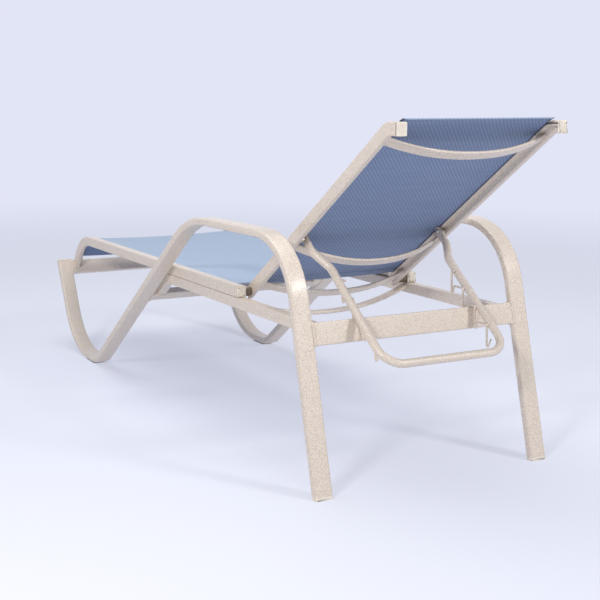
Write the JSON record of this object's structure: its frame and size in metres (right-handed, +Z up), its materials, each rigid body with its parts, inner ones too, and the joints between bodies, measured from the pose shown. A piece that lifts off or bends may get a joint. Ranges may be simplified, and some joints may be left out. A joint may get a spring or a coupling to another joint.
{
  "type": "sling chaise lounge",
  "caption": "Sling chaise lounge with bent flat-tube side frames, a sling seat and a hinged sling back propped by a round-tube bail whose notched racks hook over the rear crossbar.",
  "frame": {"origin": "on the floor, under the middle of the bounding box", "axes": "+X toward the sitter's left, +Y toward the head end, +Z up"},
  "size_m": [0.634, 1.8112, 0.801],
  "materials": {
    "frame_coat": "semi-gloss sand powder coat with a fine darker speckle",
    "cap_plastic": "satin moulded plastic in the frame's colour",
    "glide_plastic": "dull dark plastic",
    "plated_steel": "zinc plated",
    "sling_mesh": "woven vinyl-coated mesh, ribbed across",
    "spline_plastic": "extruded cord"
  },
  "bodies": {
    "frame": {"front_crossbar": "frame_coat", "left_front_glide": "glide_plastic", "left_front_leg_cap": "cap_plastic", "left_hinge_bolt": "plated_steel", "left_hinge_nut": "plated_steel", "left_hinge_spacer": "glide_plastic", "left_lower_rail": "frame_coat", "left_rear_foot_cap": "cap_plastic", "left_seat_end_plug": "cap_plastic", "left_seat_rail": "frame_coat", "left_seat_spline": "spline_plastic", "left_side_frame": "frame_coat", "middle_crossbar": "frame_coat", "rear_crossbar": "frame_coat", "right_front_glide": "glide_plastic", "right_front_leg_cap": "cap_plastic", "right_hinge_bolt": "plated_steel", "right_hinge_nut": "plated_steel", "right_hinge_spacer": "glide_plastic", "right_lower_rail": "frame_coat", "right_rear_foot_cap": "cap_plastic", "right_seat_end_plug": "cap_plastic", "right_seat_rail": "frame_coat", "right_seat_spline": "spline_plastic", "right_side_frame": "frame_coat", "seat_sling": "sling_mesh", "seat_spreader": "frame_coat"},
    "back": {"back_bottom_spreader": "frame_coat", "back_middle_spreader": "frame_coat", "back_sling": "sling_mesh", "back_top_spreader": "frame_coat", "left_back_end_plug": "cap_plastic", "left_back_rail": "frame_coat", "left_back_spline": "spline_plastic", "left_bail_bolt": "plated_steel", "left_bail_nut": "plated_steel", "left_bail_spacer": "plated_steel", "right_back_end_plug": "cap_plastic", "right_back_rail": "frame_coat", "right_back_spline": "spline_plastic", "right_bail_bolt": "plated_steel", "right_bail_nut": "plated_steel", "right_bail_spacer": "plated_steel"},
    "bail": {"bail_tube": "frame_coat", "left_rack": "frame_coat", "right_rack": "frame_coat"}
  },
  "joints": [
    {"name": "back_recline", "type": "hinge", "parent": "frame", "child": "back", "pos_m": [0, 0.29265, 0.36398], "axis": [1, 0, 0], "range_deg": [0, 60]},
    {"name": "bail_swing", "type": "hinge", "parent": "back", "child": "bail", "pos_m": [0, 0.50363, 0.51643], "axis": [1, 0, 0], "range_deg": [0, 60]}
  ]
}
